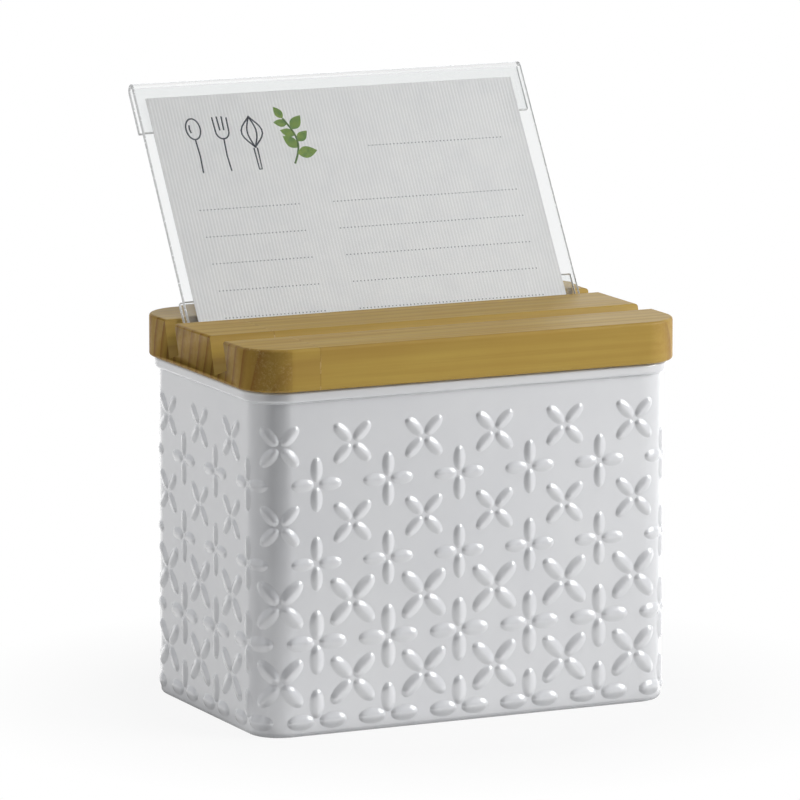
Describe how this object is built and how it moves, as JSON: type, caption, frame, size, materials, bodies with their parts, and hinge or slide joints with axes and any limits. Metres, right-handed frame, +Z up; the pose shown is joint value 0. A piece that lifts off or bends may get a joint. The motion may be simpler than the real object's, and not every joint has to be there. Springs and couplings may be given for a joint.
{
  "type": "recipe card box",
  "caption": "Embossed white steel box for recipe cards with a loose slotted wooden lid, a leaning clear card holder in one slot, and tabbed packs of cards inside.",
  "frame": {"origin": "middle of the base's underside, on the surface the box stands on", "axes": "+X along the front to the right, +Y towards the back, +Z up"},
  "size_m": [0.1758, 0.1313, 0.2267],
  "materials": {
    "enamel": "gloss",
    "pine": "satin lacquer",
    "plug_wood": "matt",
    "clear_acrylic": "polished clear acrylic",
    "ribbed_paper": "ribbed",
    "divider_card": "matt",
    "plain_paper": "matt"
  },
  "bodies": {
    "box": {"box_wall": "enamel", "box_base": "enamel"},
    "lid": {"lid_board": "pine", "lid_plug": "plug_wood"},
    "holder": {"card_holder": "clear_acrylic"},
    "shown_card": {"display_card": "ribbed_paper"},
    "pack_1": {"divider_1": "divider_card", "cards_1": "plain_paper"},
    "pack_2": {"divider_2": "divider_card", "cards_2": "plain_paper"},
    "pack_3": {"divider_3": "divider_card", "cards_3": "plain_paper"},
    "pack_4": {"divider_4": "divider_card", "cards_4": "plain_paper"},
    "pack_5": {"divider_5": "divider_card", "cards_5": "plain_paper"},
    "pack_6": {"divider_6": "divider_card", "cards_6": "plain_paper"},
    "pack_7": {"divider_7": "divider_card", "cards_7": "plain_paper"},
    "pack_8": {"divider_8": "divider_card", "cards_8": "plain_paper"}
  },
  "joints": [
    {"name": "lid_lift", "type": "slide", "parent": "box", "child": "lid", "axis": [0, 0, 1], "range_m": [0, 0.09]},
    {"name": "holder_pull", "type": "slide", "parent": "lid", "child": "holder", "axis": [0, 0.5299, 0.848], "range_m": [0, 0.03]},
    {"name": "card_slide", "type": "slide", "parent": "holder", "child": "shown_card", "axis": [1, 0, 0], "range_m": [-0.1592, 0.1592]},
    {"name": "pack_1_tip", "type": "hinge", "parent": "box", "child": "pack_1", "pos_m": [0, 0.00465, 0.00158], "axis": [1, 0, 0], "range_deg": [0, 36]},
    {"name": "pack_2_tip", "type": "hinge", "parent": "box", "child": "pack_2", "pos_m": [0, 0.00847, 0.00158], "axis": [1, 0, 0], "range_deg": [0, 31.5]},
    {"name": "pack_3_tip", "type": "hinge", "parent": "box", "child": "pack_3", "pos_m": [0, 0.01229, 0.00158], "axis": [1, 0, 0], "range_deg": [0, 27]},
    {"name": "pack_4_tip", "type": "hinge", "parent": "box", "child": "pack_4", "pos_m": [0, 0.0161, 0.00158], "axis": [1, 0, 0], "range_deg": [0, 22.5]},
    {"name": "pack_5_tip", "type": "hinge", "parent": "box", "child": "pack_5", "pos_m": [0, 0.01992, 0.00158], "axis": [1, 0, 0], "range_deg": [0, 18]},
    {"name": "pack_6_tip", "type": "hinge", "parent": "box", "child": "pack_6", "pos_m": [0, 0.02374, 0.00158], "axis": [1, 0, 0], "range_deg": [0, 13.5]},
    {"name": "pack_7_tip", "type": "hinge", "parent": "box", "child": "pack_7", "pos_m": [0, 0.02755, 0.00158], "axis": [1, 0, 0], "range_deg": [0, 9]},
    {"name": "pack_8_tip", "type": "hinge", "parent": "box", "child": "pack_8", "pos_m": [0, 0.03137, 0.00158], "axis": [1, 0, 0], "range_deg": [0, 4.5]}
  ],
  "couplings": [
    {"joint": "pack_2_tip", "follows": "pack_1_tip", "ratio": 0.875},
    {"joint": "pack_3_tip", "follows": "pack_1_tip", "ratio": 0.75},
    {"joint": "pack_4_tip", "follows": "pack_1_tip", "ratio": 0.625},
    {"joint": "pack_5_tip", "follows": "pack_1_tip", "ratio": 0.5},
    {"joint": "pack_6_tip", "follows": "pack_1_tip", "ratio": 0.375},
    {"joint": "pack_7_tip", "follows": "pack_1_tip", "ratio": 0.25},
    {"joint": "pack_8_tip", "follows": "pack_1_tip", "ratio": 0.125}
  ]
}
